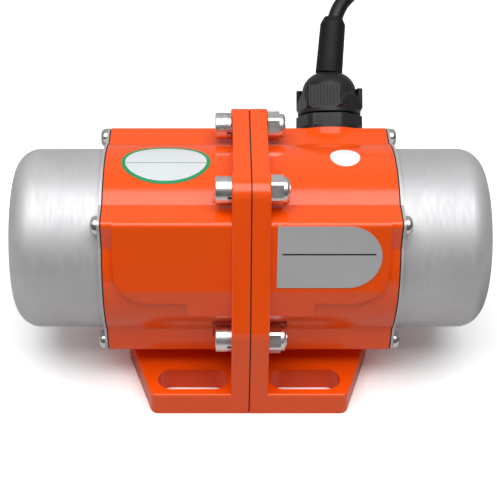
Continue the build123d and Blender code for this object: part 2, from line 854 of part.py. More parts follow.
# Gland nut: a hexagonal band over a round rim, a ribbed grip on alternate flats, and a dome over the seal
grip_face = gland_nut_flats / 2 + gland_grip_proud
with BuildPart() as gland_nut:
    with BuildSketch(gland_plane(gland_nut_start)):
        RegularPolygon(gland_nut_flats / 2, 6, major_radius=False, rotation=-gland_nut_turn)
        Circle(gland_nut_rim_radius)
    extrude(amount=gland_nut_band - gland_nut_start)
    with BuildSketch(gland_plane(gland_nut_rim_end)):
        RegularPolygon(gland_nut_flats, 6, major_radius=False, rotation=-gland_nut_turn)
        RegularPolygon(gland_nut_flats / 2, 6, major_radius=False, rotation=-gland_nut_turn, mode=Mode.SUBTRACT)
    extrude(amount=gland_nut_band - gland_nut_rim_end, mode=Mode.SUBTRACT)
    with BuildSketch(beside(gland_foot, gland_direction)):
        with BuildLine():
            Polyline(
                (0, gland_nut_start),
                (gland_nut_rim_radius, gland_nut_start),
                (gland_nut_rim_radius, gland_nut_rim_end),
                (gland_corner_radius, gland_grip_start),
                (gland_corner_radius, gland_nut_shoulder),
                (gland_nut_neck_radius, gland_nut_neck),
                (gland_dome_radius, gland_nut_band),
                (0, gland_nut_band),
                close=True,
            )
        make_face()
    revolve(axis=Axis(gland_foot, gland_direction), mode=Mode.INTERSECT)
    with BuildSketch(gland_plane(gland_grip_start)):
        with PolarLocations(grip_face - gland_grip_height / 2, 3, start_angle=-90 - gland_nut_turn):
            Rectangle(gland_grip_height, gland_grip_width)
    extrude(amount=gland_grip_end - gland_grip_start)
    with BuildSketch(gland_plane(gland_grip_start)):
        for groove in range(gland_grooves):
            off_middle = (groove - (gland_grooves - 1) / 2) * gland_groove_pitch
            with PolarLocations(0, 3, start_angle=-90 - gland_nut_turn):
                with Locations((grip_face, off_middle)):
                    Rectangle(2 * gland_groove_depth, gland_groove_width)
    extrude(amount=gland_grip_end - gland_grip_start, mode=Mode.SUBTRACT)
    with BuildSketch(beside(gland_foot, gland_direction)):
        with BuildLine():
            foot_edge = (gland_dome_radius, gland_nut_band)
            lip_edge = (gland_lip_radius, gland_nut_end)
            Polyline((0, gland_nut_end), (0, gland_nut_band - 1), (gland_dome_radius, gland_nut_band - 1), foot_edge)
            RadiusArc(foot_edge, lip_edge, -gland_dome_curve)
            Line(lip_edge, (0, gland_nut_end))
        make_face()
    revolve(axis=Axis(gland_foot, gland_direction))
    with BuildSketch(beside(gland_foot, gland_direction)):
        with BuildLine():
            Polyline(
                (0, gland_nut_start - 1),
                (gland_collar_radius + gland_nut_clearance, gland_nut_start - 1),
                (gland_collar_radius + gland_nut_clearance, gland_collar_end + gland_nut_clearance),
                (gland_collar_bore, gland_collar_end + gland_nut_clearance),
                (gland_collar_bore, seal_end + gland_nut_clearance),
                (cord_radius + gland_nut_clearance, seal_end + gland_nut_clearance),
                (cord_radius + gland_nut_clearance, gland_nut_end + 1),
                (0, gland_nut_end + 1),
                close=True,
            )
        make_face()
    revolve(axis=Axis(gland_foot, gland_direction), mode=Mode.SUBTRACT)
save(gland_nut.part, "gland_nut")

# Sleeve over the cord where it leaves the gland, turned a little to the right
sleeve_foot = gland_foot + gland_direction * (gland_nut_end + sleeve_gap)
sleeve_direction = gland_direction * cos(radians(sleeve_turn)) + Vector(sin(radians(sleeve_turn)), 0, 0)
sleeve_bore = cord_radius + cord_clearance
with BuildPart() as cord_sleeve:
    with BuildSketch(beside(sleeve_foot, sleeve_direction)) as sleeve_section:
        with BuildLine():
            Polyline(
                (sleeve_bore, 0),
                (sleeve_radius, 0),
                (sleeve_shoulder_radius, sleeve_length - sleeve_shoulder),
                (sleeve_tip_radius, sleeve_length),
                (sleeve_bore, sleeve_length),
                close=True,
            )
        make_face()
        shoulder = (sleeve_shoulder_radius, sleeve_length - sleeve_shoulder)
        fillet(sleeve_section.vertices().sort_by_distance(shoulder)[0], sleeve_tip_round)
    revolve(axis=Axis(sleeve_foot, sleeve_direction))
save(cord_sleeve.part, "cord_sleeve")

# The cord's sheathed end inside the gland and the sleeve
cord_start = sleeve_foot + sleeve_direction * (sleeve_length - cord_lap)
with BuildPart() as cord_inlet:
    with BuildSketch(gland_plane(inlet_start)):
        Circle(cord_radius)
    extrude(amount=gland_nut_end + sleeve_gap - inlet_start)
    with Locations(sleeve_foot):
        Sphere(cord_radius)
    with BuildSketch(Plane(origin=sleeve_foot, z_dir=sleeve_direction)):
        Circle(cord_radius)
    extrude(amount=sleeve_length - cord_lap)
save(cord_inlet.part, "cord_inlet")

# Three lead wires from the end turns to the cord's sheathed end
winding_face = stator_half_length + winding_clearance + winding_overhang
with BuildPart() as lead_wires:
    for step in (-1, 0, 1):
        across_wires = gland_plane(0).y_dir * (step * wire_pitch)
        wire_origin = Vector(0, gland_foot.Y, gland_foot.Z) + across_wires
        with BuildLine(Plane(origin=wire_origin, x_dir=(1, 0, 0), z_dir=-gland_plane(0).y_dir)) as wire:
            FilletPolyline(
                (winding_face, wire_depth),
                (gland_x, wire_depth),
                (gland_x, inlet_start),
                radius=wire_bend,
            )
        with BuildSketch(Plane(origin=wire.line @ 0, z_dir=wire.line % 0)):
            Circle(wire_radius)
        sweep(path=wire.line)
save(lead_wires.part, "lead_wires")


def cord_tube(points):
    """A tube along straight runs and tangent arcs, each arc as large as its two runs allow."""
    runs = [(b - a).length for a, b in zip(points, points[1:])]
    turns = [(b - a).get_angle(c - b) for a, b, c in zip(points, points[1:], points[2:])]
    radii = [
        0.45 * min(before, after) / tan(radians(turn) / 2)
        for before, after, turn in zip(runs, runs[1:], turns)
    ]
    with BuildPart() as tube:
        with BuildLine() as route:
            FilletPolyline(*points, radius=radii)
        with BuildSketch(Plane(origin=route.line @ 0, z_dir=route.line % 0)):
            Circle(cord_radius)
        sweep(path=route.line)
    length = sum(edge.length for edge in route.edges())
    share = tube.part.volume / (pi * cord_radius**2 * length)
    print("cord tube", round(length, 1), "mm, radii", [round(r, 1) for r in radii])
    print("turns", [round(t, 1) for t in turns], "volume over section times length", round(share, 4))
    return tube.part


# The rest of its length, wound into a neat round coil and tied
coil_half_width = coil_rows * cord_radius + 0.1
coil_height = 2 * coil_layers * cord_radius + 0.2
with BuildPart() as cord_coil:
    with BuildSketch(Plane.XY.offset(coil_lift)):
        with Locations(coil_centre):
            Circle(coil_mean_radius + coil_half_width)
            Circle(coil_mean_radius - coil_half_width, mode=Mode.SUBTRACT)
    extrude(amount=coil_height)
    fillet(edges(), coil_round)
save(cord_coil.part, "cord_coil")

tie_place = (
    coil_centre[0] + coil_mean_radius * cos(radians(tie_angle)),
    coil_centre[1] + coil_mean_radius * sin(radians(tie_angle)),
)
tie_facing = (-sin(radians(tie_angle)), cos(radians(tie_angle)), 0)
with BuildPart() as coil_tie:
    tie_plane = Plane(
        origin=(tie_place[0], tie_place[1], coil_lift + coil_height / 2),
        x_dir=(cos(radians(tie_angle)), sin(radians(tie_angle)), 0),
        z_dir=tie_facing,
    )
    with BuildSketch(tie_plane):
        RectangleRounded(
            2 * (coil_half_width + tie_side_clearance + tie_thickness),
            coil_height + 2 * (tie_clearance + tie_thickness),
            coil_round,
        )
        RectangleRounded(
            2 * (coil_half_width + tie_side_clearance),
            coil_height + 2 * tie_clearance,
            coil_round - tie_thickness,
            mode=Mode.SUBTRACT,
        )
    extrude(amount=tie_width / 2, both=True)
save(coil_tie.part, "coil_tie")

# The free cord arches back and to the right, comes down beside the motor and runs into its coil
coil_x, coil_y = coil_centre
cord_route = [
    cord_start,
    sleeve_foot + sleeve_direction * (sleeve_length + cord_bend_start),
    Vector(44.2, 80.6, 113.8),
    Vector(55.2, 94, 123.5),
    Vector(77, 105, 129),
    Vector(101, 110, 120),
    Vector(118, 111, 97),
    Vector(125.5, 111, 67),
    Vector(128.5, 106, 38),
    Vector(128.5, 93, 14.5),
    Vector(126.4, 74, 5.6),
    Vector(122.3, 50, 3.8),
    Vector(117.6, 26, 3.7),
    Vector(coil_x + coil_entry[0], coil_y + coil_entry[1], 3.7),
]
with BuildPart() as supply_cord:
    add(cord_tube(cord_route))
    add(cord_coil.part, mode=Mode.SUBTRACT)
save(supply_cord.part, "supply_cord")

# From the coil a short tail leads to a moulded plug, lying on the floor
tail_route = [
    Vector(coil_x + coil_exit[0], coil_y + coil_exit[1], 8.8),
    Vector(coil_x + 22.5, coil_y + 28, 7.9),
    Vector(coil_x + 18.8, coil_y + 39.5, plug_height_above_floor),
    Vector(*plug_place, plug_height_above_floor),
]
with BuildPart() as cord_tail:
    add(cord_tube(tail_route))
    add(cord_coil.part, mode=Mode.SUBTRACT)
save(cord_tail.part, "cord_tail")

# Moulded plug with two round pins
plug_direction = (tail_route[-1] - tail_route[-2]).normalized()
plug_foot = tail_route[-1]


def plug_plane(distance):
    """The plane square to the plug at this distance from its tail end."""
    side = plug_direction.cross(Vector(0, 0, 1))
    return Plane(origin=plug_foot + plug_direction * distance, x_dir=side, z_dir=plug_direction)


with BuildPart() as plug_body:
    with BuildSketch(plug_plane(0)):
        Circle(plug_tail_start_radius)
    with BuildSketch(plug_plane(plug_tail_length)):
        Circle(plug_tail_end_radius)
    loft()
    with BuildSketch(plug_plane(plug_tail_length - 1)):
        RectangleRounded(plug_waist, plug_height - 1, plug_height / 2 - 1)
    with BuildSketch(plug_plane(plug_tail_length + plug_length)):
        RectangleRounded(plug_width, plug_height, plug_height / 2 - 1)
    loft()
save(plug_body.part, "plug_body")

with BuildPart() as plug_pins:
    with BuildSketch(plug_plane(plug_tail_length + plug_length)):
        with GridLocations(plug_pin_pitch, 0, 2, 1):
            Circle(plug_pin_radius)
    extrude(amount=plug_pin_length)
    fillet(edges().group_by(Axis.Y)[-1], plug_pin_radius / 2)
save(plug_pins.part, "plug_pins")
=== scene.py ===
import json
import math

import bmesh
import bpy
from mathutils import Euler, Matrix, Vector


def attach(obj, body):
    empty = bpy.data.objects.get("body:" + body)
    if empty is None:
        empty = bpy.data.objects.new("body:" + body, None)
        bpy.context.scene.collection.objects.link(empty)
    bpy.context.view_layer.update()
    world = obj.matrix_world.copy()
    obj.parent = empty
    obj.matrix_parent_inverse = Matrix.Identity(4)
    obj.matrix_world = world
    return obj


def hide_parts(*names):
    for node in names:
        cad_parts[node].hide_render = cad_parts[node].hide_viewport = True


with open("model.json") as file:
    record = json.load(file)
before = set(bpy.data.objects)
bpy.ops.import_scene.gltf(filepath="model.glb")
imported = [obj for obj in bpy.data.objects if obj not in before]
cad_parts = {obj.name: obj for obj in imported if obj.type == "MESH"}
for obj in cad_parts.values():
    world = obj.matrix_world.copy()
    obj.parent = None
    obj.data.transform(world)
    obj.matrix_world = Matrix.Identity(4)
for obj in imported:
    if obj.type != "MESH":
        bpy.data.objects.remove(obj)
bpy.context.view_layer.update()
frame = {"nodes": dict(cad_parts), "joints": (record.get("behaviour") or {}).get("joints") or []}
nodes = frame["nodes"]
scene = bpy.context.scene
shaft_height = frame["joints"][0]["pos_m"][2]

# Camera: it stands level in front of the motor and a little to its left, and looks down on it.
# The view is narrow, so that the round caps and the straight housing keep their true proportions.
camera_look_down = math.radians(38.71)
camera_distance = 0.4847
camera_side = -0.01125
camera_data = bpy.data.cameras.new("front_camera")
camera_data.sensor_width = 36.0
camera_data.lens = 91.54
camera_data.shift_x = 0.0584
camera_data.shift_y = -0.0209
camera_data.clip_start = 0.01
camera = bpy.data.objects.new("front_camera", camera_data)
camera.rotation_euler = Euler((math.radians(90) - camera_look_down, 0, 0))
camera_back = Vector((0, -math.cos(camera_look_down), math.sin(camera_look_down)))
camera.location = Vector((camera_side, 0, shaft_height)) + camera_back * camera_distance
scene.collection.objects.link(camera)
scene.camera = camera

# Studio: a small table covered with white paper, whose front edge lies just before the motor.
# Only the camera sees the paper brighter than it is, so its light on the motor stays plain.
table_front = -0.24
table_back = 0.45
table_half_width = 0.55
table_drop = 0.0002
table_corners = [
    (-table_half_width, table_front, 0),
    (table_half_width, table_front, 0),
    (table_half_width, table_back, 0),
    (-table_half_width, table_back, 0),
]
table_mesh = bpy.data.meshes.new("table_top")
table_mesh.from_pydata(table_corners, [], [(0, 1, 2, 3)])
table_top = bpy.data.objects.new("table_top", table_mesh)
table_top.location.z = -table_drop
scene.collection.objects.link(table_top)


def new_material(name):
    """A material of its own, with its nodes, its links and its surface shader."""
    material = bpy.data.materials.new(name)
    material.use_nodes = True
    tree = material.node_tree
    return material, tree.nodes, tree.links, tree.nodes["Principled BSDF"]


paper, paper_nodes, paper_links, paper_shader = new_material("white_table_paper")
paper_shader.inputs["Base Color"].default_value = (0.58, 0.58, 0.585, 1)
paper_shader.inputs["Roughness"].default_value = 0.9
paper_shader.inputs["Specular IOR Level"].default_value = 0.1
paper_white = paper_nodes.new("ShaderNodeBsdfDiffuse")
paper_white.inputs["Color"].default_value = (0.70, 0.70, 0.70, 1)
paper_seen = paper_nodes.new("ShaderNodeAddShader")
paper_links.new(paper_shader.outputs[0], paper_seen.inputs[0])
paper_links.new(paper_white.outputs[0], paper_seen.inputs[1])
paper_path = paper_nodes.new("ShaderNodeLightPath")
paper_choice = paper_nodes.new("ShaderNodeMixShader")
paper_links.new(paper_path.outputs["Is Camera Ray"], paper_choice.inputs[0])
paper_links.new(paper_shader.outputs[0], paper_choice.inputs[1])
paper_links.new(paper_seen.outputs[0], paper_choice.inputs[2])
paper_links.new(paper_choice.outputs[0], paper_nodes["Material Output"].inputs["Surface"])
table_mesh.materials.append(paper)

# Room: dim at the height of the table, and lighter towards its ceiling and its back wall, which
# the gloss of the enamel and the metal shows. The camera sees plain white in its place.
world = bpy.data.worlds.new("studio_room")
world.use_nodes = True
scene.world = world
room = world.node_tree.nodes
room_links = world.node_tree.links
room_place = room.new("ShaderNodeTexCoord")
room_split = room.new("ShaderNodeSeparateXYZ")
room_links.new(room_place.outputs["Generated"], room_split.inputs[0])


def room_light(direction, start, end, dark, bright):
    """Light that grows from dark to bright between two places along this direction of the room."""
    growth = room.new("ShaderNodeMapRange")
    growth.interpolation_type = "SMOOTHSTEP"
    growth.inputs["From Min"].default_value = start
    growth.inputs["From Max"].default_value = end
    growth.inputs["To Min"].default_value = dark
    growth.inputs["To Max"].default_value = bright
    room_links.new(room_split.outputs[direction], growth.inputs["Value"])
    return growth.outputs["Result"]


room_sum = room.new("ShaderNodeMath")
room_sum.operation = "ADD"
room_links.new(room_light("Z", start=0.05, end=0.85, dark=0.10, bright=0.30), room_sum.inputs[0])
room_links.new(room_light("Y", start=-0.1, end=0.9, dark=0.0, bright=0.28), room_sum.inputs[1])
room_path = room.new("ShaderNodeLightPath")
room_choice = room.new("ShaderNodeMix")
room_choice.data_type = "RGBA"
room_choice.inputs["B"].default_value = (1, 1, 1, 1)
room_links.new(room_path.outputs["Is Camera Ray"], room_choice.inputs["Factor"])
room_links.new(room_sum.outputs[0], room_choice.inputs["A"])
room_links.new(room_choice.outputs["Result"], room["Background"].inputs["Color"])

# Lamps: one wide soft box hangs over the motor and a little before it, and draws the long highlights.
# A weak one at the left keeps the side of the left cap from going dark.


def soft_box(name, place, width, height, power):
    """A plain rectangular lamp at this place, turned to face the motor's shaft."""
    lamp_data = bpy.data.lights.new(name, "AREA")
    lamp_data.shape = "RECTANGLE"
    lamp_data.size = width
    lamp_data.size_y = height
    lamp_data.energy = power
    lamp = bpy.data.objects.new(name, lamp_data)
    lamp.location = place
    lamp_facing = Vector((0, 0, shaft_height)) - Vector(place)
    lamp.rotation_euler = lamp_facing.to_track_quat("-Z", "Y").to_euler()
    scene.collection.objects.link(lamp)


soft_box("overhead_box", place=(0, -0.233, 0.919), width=1.2, height=0.69, power=9.7)
soft_box("left_box", place=(-0.9, -0.1, 0.55), width=0.5, height=0.5, power=0.6)

# Housing halves: aluminium castings under glossy orange enamel, with the faint ripple of sprayed paint.
# They meet at the flange, where four bolts press a dark rubber gasket between them. The finishes of
# this motor share one grain: a height from fine noise, and a mask from coarse noise.
grain = bpy.data.node_groups.new("surface_grain", "ShaderNodeTree")
for socket_name, value in (("Scale", 400.0), ("Coarse Scale", 40.0), ("Stretch X", 1.0)):
    socket = grain.interface.new_socket(socket_name, in_out="INPUT", socket_type="NodeSocketFloat")
    socket.default_value = value
grain.interface.new_socket("Height", in_out="OUTPUT", socket_type="NodeSocketFloat")
grain.interface.new_socket("Mask", in_out="OUTPUT", socket_type="NodeSocketFloat")
grain_in = grain.nodes.new("NodeGroupInput")
grain_out = grain.nodes.new("NodeGroupOutput")
grain_place = grain.nodes.new("ShaderNodeTexCoord")
grain_stretch = grain.nodes.new("ShaderNodeCombineXYZ")
grain_stretch.inputs["Y"].default_value = 1
grain_stretch.inputs["Z"].default_value = 1
grain.links.new(grain_in.outputs["Stretch X"], grain_stretch.inputs["X"])
grain_scaled = grain.nodes.new("ShaderNodeVectorMath")
grain_scaled.operation = "MULTIPLY"
grain.links.new(grain_place.outputs["Object"], grain_scaled.inputs[0])
grain.links.new(grain_stretch.outputs[0], grain_scaled.inputs[1])
for scale_name, output_name, detail in (("Scale", "Height", 3), ("Coarse Scale", "Mask", 4)):
    noise = grain.nodes.new("ShaderNodeTexNoise")
    noise.inputs["Detail"].default_value = detail
    grain.links.new(grain_scaled.outputs[0], noise.inputs["Vector"])
    grain.links.new(grain_in.outputs[scale_name], noise.inputs["Scale"])
    grain.links.new(noise.outputs["Fac"], grain_out.inputs[output_name])


def finish(material, *names):
    """Gives these CAD pieces their material."""
    for name in names:
        for material_slot in nodes[name].material_slots:
            material_slot.material = material


enamel, enamel_nodes, enamel_links, enamel_shader = new_material("orange_enamel")
enamel_grain = enamel_nodes.new("ShaderNodeGroup")
enamel_grain.node_tree = grain
enamel_grain.inputs["Scale"].default_value = 350
enamel_grain.inputs["Coarse Scale"].default_value = 24
enamel_tone = enamel_nodes.new("ShaderNodeMix")
enamel_tone.data_type = "RGBA"
enamel_tone.inputs["A"].default_value = (0.88, 0.078, 0.0020, 1)
enamel_tone.inputs["B"].default_value = (0.95, 0.093, 0.0030, 1)
enamel_links.new(enamel_grain.outputs["Mask"], enamel_tone.inputs["Factor"])
enamel_links.new(enamel_tone.outputs["Result"], enamel_shader.inputs["Base Color"])
enamel_gloss = enamel_nodes.new("ShaderNodeMapRange")
enamel_gloss.inputs["To Min"].default_value = 0.14
enamel_gloss.inputs["To Max"].default_value = 0.22
enamel_links.new(enamel_grain.outputs["Mask"], enamel_gloss.inputs["Value"])
enamel_links.new(enamel_gloss.outputs["Result"], enamel_shader.inputs["Roughness"])
enamel_relief = enamel_nodes.new("ShaderNodeBump")
enamel_relief.inputs["Distance"].default_value = 0.00002
enamel_links.new(enamel_grain.outputs["Height"], enamel_relief.inputs["Height"])
enamel_links.new(enamel_relief.outputs["Normal"], enamel_shader.inputs["Normal"])
enamel_shader.inputs["IOR"].default_value = 1.5
finish(enamel, "left_housing", "right_housing")


def grained(name, dark, light, rough, spread, fine, coarse, relief, stretch=1.0, metal=0.0, shine=0.5):
    """A finish whose tone and roughness vary a little over the surface, with a fine relief."""
    material, tree, links, shader = new_material(name)
    surface = tree.new("ShaderNodeGroup")
    surface.node_tree = grain
    surface.inputs["Scale"].default_value = fine
    surface.inputs["Coarse Scale"].default_value = coarse
    surface.inputs["Stretch X"].default_value = stretch
    tone = tree.new("ShaderNodeMix")
    tone.data_type = "RGBA"
    tone.inputs["A"].default_value = (*dark, 1)
    tone.inputs["B"].default_value = (*light, 1)
    links.new(surface.outputs["Mask"], tone.inputs["Factor"])
    links.new(tone.outputs["Result"], shader.inputs["Base Color"])
    gloss = tree.new("ShaderNodeMapRange")
    gloss.inputs["From Min"].default_value = 0.3
    gloss.inputs["From Max"].default_value = 0.7
    gloss.inputs["To Min"].default_value = rough - spread
    gloss.inputs["To Max"].default_value = rough + spread
    links.new(surface.outputs["Mask"], gloss.inputs["Value"])
    links.new(gloss.outputs["Result"], shader.inputs["Roughness"])
    bump = tree.new("ShaderNodeBump")
    bump.inputs["Distance"].default_value = relief
    links.new(surface.outputs["Height"], bump.inputs["Height"])
    links.new(bump.outputs["Normal"], shader.inputs["Normal"])
    shader.inputs["Metallic"].default_value = metal
    shader.inputs["Specular IOR Level"].default_value = shine
    return material


gasket_rubber = grained(
    "gasket_rubber", dark=(0.012, 0.012, 0.012), light=(0.02, 0.02, 0.02), rough=0.75, spread=0.05,
    fine=900, coarse=90, relief=0.00003,
)
finish(gasket_rubber, "joint_gasket")

# Stator: a stack of thin electrical steel sheets with enamelled copper wound through its slots.
# It is pressed into the housing's bore, and the rotor's core is stamped from the same sheets.
lamination = grained(
    "lamination_steel", dark=(0.16, 0.16, 0.17), light=(0.30, 0.30, 0.31), rough=0.45, spread=0.1,
    fine=700, coarse=60, relief=0.00006, stretch=4.0, metal=1.0,
)
finish(lamination, "stator_core", "rotor_core")
copper = grained(
    "enamelled_copper", dark=(0.42, 0.13, 0.04), light=(0.62, 0.22, 0.07), rough=0.32, spread=0.08,
    fine=1100, coarse=90, relief=0.0001, metal=0.6,
)
finish(copper, "stator_windings")

# Lead wires: three wires with plastic insulation run from the end turns to the slanted gland.
# Each has a colour of its own, so the colours change in steps across the gland's axis.
gland_lean = math.radians(43.0)
gland_set_back = 0.0115
gland_direction = Vector((0, math.sin(gland_lean), math.cos(gland_lean)))
gland_back = Vector((0, math.cos(gland_lean), -math.sin(gland_lean)))
wires_middle = gland_set_back - shaft_height * math.sin(gland_lean)
wires_half = 0.002625
wire_brown = (0.20, 0.07, 0.02, 1)
wire_blue = (0.02, 0.10, 0.45, 1)
wire_yellow = (0.55, 0.50, 0.04, 1)
wire_skin, wire_nodes, wire_links, wire_shader = new_material("wire_insulation")
wire_place = wire_nodes.new("ShaderNodeTexCoord")
wire_across = wire_nodes.new("ShaderNodeVectorMath")
wire_across.operation = "DOT_PRODUCT"
wire_across.inputs[1].default_value = gland_back
wire_links.new(wire_place.outputs["Object"], wire_across.inputs[0])
wire_scaled = wire_nodes.new("ShaderNodeMapRange")
wire_scaled.inputs["From Min"].default_value = wires_middle - wires_half
wire_scaled.inputs["From Max"].default_value = wires_middle + wires_half
wire_links.new(wire_across.outputs["Value"], wire_scaled.inputs["Value"])
wire_colours = wire_nodes.new("ShaderNodeValToRGB")
wire_ramp = wire_colours.color_ramp
wire_ramp.interpolation = "CONSTANT"
wire_ramp.elements[0].color = wire_brown
wire_ramp.elements[1].position = 1 / 3
wire_ramp.elements[1].color = wire_blue
wire_ramp.elements.new(2 / 3).color = wire_yellow
wire_links.new(wire_scaled.outputs["Result"], wire_colours.inputs["Fac"])
wire_links.new(wire_colours.outputs["Color"], wire_shader.inputs["Base Color"])
wire_shader.inputs["Roughness"].default_value = 0.4
finish(wire_skin, "lead_wires")

# Rotor: a cast aluminium cage in a steel core, pressed on a ground shaft.
# A spacer sleeve stands beside each bearing, and a spring steel circlip closes each end.
cage_cast = grained(
    "cage_aluminium", dark=(0.60, 0.60, 0.61), light=(0.72, 0.72, 0.73), rough=0.42, spread=0.08,
    fine=500, coarse=60, relief=0.00008, metal=1.0,
)
finish(cage_cast, "rotor_cage")
ground = grained(
    "ground_steel", dark=(0.55, 0.55, 0.57), light=(0.68, 0.68, 0.70), rough=0.2, spread=0.05,
    fine=2500, coarse=120, relief=0.000008, stretch=5.0, metal=1.0,
)
finish(ground, "shaft", "spacer_sleeves")
spring = grained(
    "spring_steel", dark=(0.20, 0.20, 0.22), light=(0.30, 0.30, 0.33), rough=0.35, spread=0.06,
    fine=1500, coarse=150, relief=0.00001, metal=1.0,
)
finish(spring, "circlips")

# Bearings: ground rings, polished balls and a pressed brass cage on each side of the rotor.
# A wave washer loads one of them along the shaft, and a shim stands behind the other.
ring_steel = grained(
    "ring_steel", dark=(0.62, 0.62, 0.64), light=(0.74, 0.74, 0.76), rough=0.16, spread=0.04,
    fine=2800, coarse=200, relief=0.000006, stretch=6.0, metal=1.0,
)
ball_steel = grained(
    "ball_steel", dark=(0.74, 0.74, 0.76), light=(0.80, 0.80, 0.82), rough=0.07, spread=0.02,
    fine=2000, coarse=300, relief=0.000002, metal=1.0,
)
cage_brass = grained(
    "cage_brass", dark=(0.55, 0.38, 0.13), light=(0.68, 0.50, 0.20), rough=0.3, spread=0.06,
    fine=1400, coarse=150, relief=0.00001, metal=1.0,
)
for side in ("left", "right"):
    finish(ring_steel, side + "_bearing_inner_ring", side + "_bearing_outer_ring")
    finish(ball_steel, side + "_bearing_balls")
    finish(cage_brass, side + "_bearing_cage")
finish(spring, "wave_washer", "bearing_shim")

# Eccentric weights: cast iron sectors, machined and oiled, each locked to the shaft by a set screw.
# Turning the outer one against the inner one sets how hard the motor shakes.
weight_iron = grained(
    "weight_iron", dark=(0.13, 0.13, 0.13), light=(0.22, 0.215, 0.21), rough=0.42, spread=0.1,
    fine=600, coarse=70, relief=0.00006, metal=1.0,
)
black_oxide = grained(
    "black_oxide", dark=(0.02, 0.02, 0.022), light=(0.04, 0.04, 0.044), rough=0.38, spread=0.06,
    fine=1500, coarse=200, relief=0.00001, metal=0.8,
)
for side in ("left", "right"):
    finish(weight_iron, side + "_inner_weight", side + "_outer_weight")
    finish(black_oxide, side + "_outer_weight_screw")
finish(black_oxide, "inner_weight_screws")

# End caps: drawn from sheet steel, brushed round and round on a lathe, then left satin.
# The brush lines run round the shaft, so their noise is long across it and short along it.
# A gasket seals each cap's flange, and four plated pan-head screws hold it.
brush_stretch = (1.0, 0.16, 0.16)
cap_metal, cap_nodes, cap_links, cap_shader = new_material("satin_cap_metal")
cap_place = cap_nodes.new("ShaderNodeTexCoord")
cap_stretch = cap_nodes.new("ShaderNodeVectorMath")
cap_stretch.operation = "MULTIPLY"
cap_stretch.inputs[1].default_value = brush_stretch
cap_links.new(cap_place.outputs["Object"], cap_stretch.inputs[0])
cap_lines = cap_nodes.new("ShaderNodeTexNoise")
cap_lines.inputs["Scale"].default_value = 900
cap_lines.inputs["Detail"].default_value = 3
cap_links.new(cap_stretch.outputs[0], cap_lines.inputs["Vector"])
cap_cloud = cap_nodes.new("ShaderNodeTexNoise")
cap_cloud.inputs["Scale"].default_value = 55
cap_cloud.inputs["Detail"].default_value = 5
cap_links.new(cap_place.outputs["Object"], cap_cloud.inputs["Vector"])
cap_tone = cap_nodes.new("ShaderNodeMix")
cap_tone.data_type = "RGBA"
cap_tone.inputs["A"].default_value = (0.50, 0.494, 0.508, 1)
cap_tone.inputs["B"].default_value = (0.66, 0.655, 0.665, 1)
cap_links.new(cap_cloud.outputs["Fac"], cap_tone.inputs["Factor"])
cap_links.new(cap_tone.outputs["Result"], cap_shader.inputs["Base Color"])
cap_gloss = cap_nodes.new("ShaderNodeMapRange")
cap_gloss.inputs["From Min"].default_value = 0.3
cap_gloss.inputs["From Max"].default_value = 0.7
cap_gloss.inputs["To Min"].default_value = 0.50
cap_gloss.inputs["To Max"].default_value = 0.60
cap_links.new(cap_lines.outputs["Fac"], cap_gloss.inputs["Value"])
cap_links.new(cap_gloss.outputs["Result"], cap_shader.inputs["Roughness"])
cap_relief = cap_nodes.new("ShaderNodeBump")
cap_relief.inputs["Distance"].default_value = 0.00002
cap_links.new(cap_lines.outputs["Fac"], cap_relief.inputs["Height"])
cap_links.new(cap_relief.outputs["Normal"], cap_shader.inputs["Normal"])
cap_shader.inputs["Metallic"].default_value = 0.62
screw_plating = grained(
    "screw_plating", dark=(0.62, 0.61, 0.58), light=(0.74, 0.73, 0.70), rough=0.16, spread=0.05,
    fine=1500, coarse=300, relief=0.00001, metal=1.0,
)
for side in ("left", "right"):
    finish(cap_metal, side + "_end_cap")
    finish(gasket_rubber, side + "_cap_gasket")
    finish(screw_plating, side + "_cap_screws")

# Flange fasteners: stainless socket-head bolts from the left, spring washers under their heads,
# and lock nuts on the right. They are bright, with the turning marks of the bar they were cut from.
bolt_steel = grained(
    "bolt_stainless", dark=(0.68, 0.67, 0.66), light=(0.84, 0.83, 0.82), rough=0.31, spread=0.07,
    fine=2200, coarse=350, relief=0.00002, metal=1.0,
)
finish(bolt_steel, "flange_bolts", "flange_nuts")
washer_steel = grained(
    "washer_steel", dark=(0.58, 0.57, 0.56), light=(0.72, 0.71, 0.70), rough=0.34, spread=0.06,
    fine=1800, coarse=300, relief=0.00002, metal=1.0,
)
finish(washer_steel, "spring_washers")

# Cable gland: a black nylon body and nut, moulded with a slight sheen, over a soft rubber seal.
# The body screws into the housing, and the nut squeezes the seal round the cord.
gland_nylon = grained(
    "gland_nylon", dark=(0.008, 0.008, 0.010), light=(0.012, 0.012, 0.014), rough=0.4, spread=0.05,
    fine=700, coarse=80, relief=0.00002, shine=0.4,
)
finish(gland_nylon, "gland_body", "gland_nut")
seal_rubber = grained(
    "seal_rubber", dark=(0.02, 0.02, 0.02), light=(0.03, 0.03, 0.03), rough=0.7, spread=0.05,
    fine=600, coarse=90, relief=0.00003,
)
finish(seal_rubber, "gland_seal")

# Cord sleeve: a dull black shrink tube over the cord, in the gland's mouth.
# It leans a little to the right of the gland's axis.
gland_x = 0.0321
sleeve_rise = 0.0662
sleeve_length = 0.0224
sleeve_turn = math.radians(5.0)
gland_foot = Vector((gland_x, 0, shaft_height)) + gland_back * gland_set_back
sleeve_foot = gland_foot + gland_direction * sleeve_rise
sleeve_direction = gland_direction * math.cos(sleeve_turn) + Vector((math.sin(sleeve_turn), 0, 0))
sleeve_skin = grained(
    "shrink_sleeve", dark=(0.003, 0.003, 0.0035), light=(0.005, 0.005, 0.0055), rough=0.6, spread=0.05,
    fine=500, coarse=90, relief=0.00004, shine=0.3,
)
finish(sleeve_skin, "cord_sleeve")

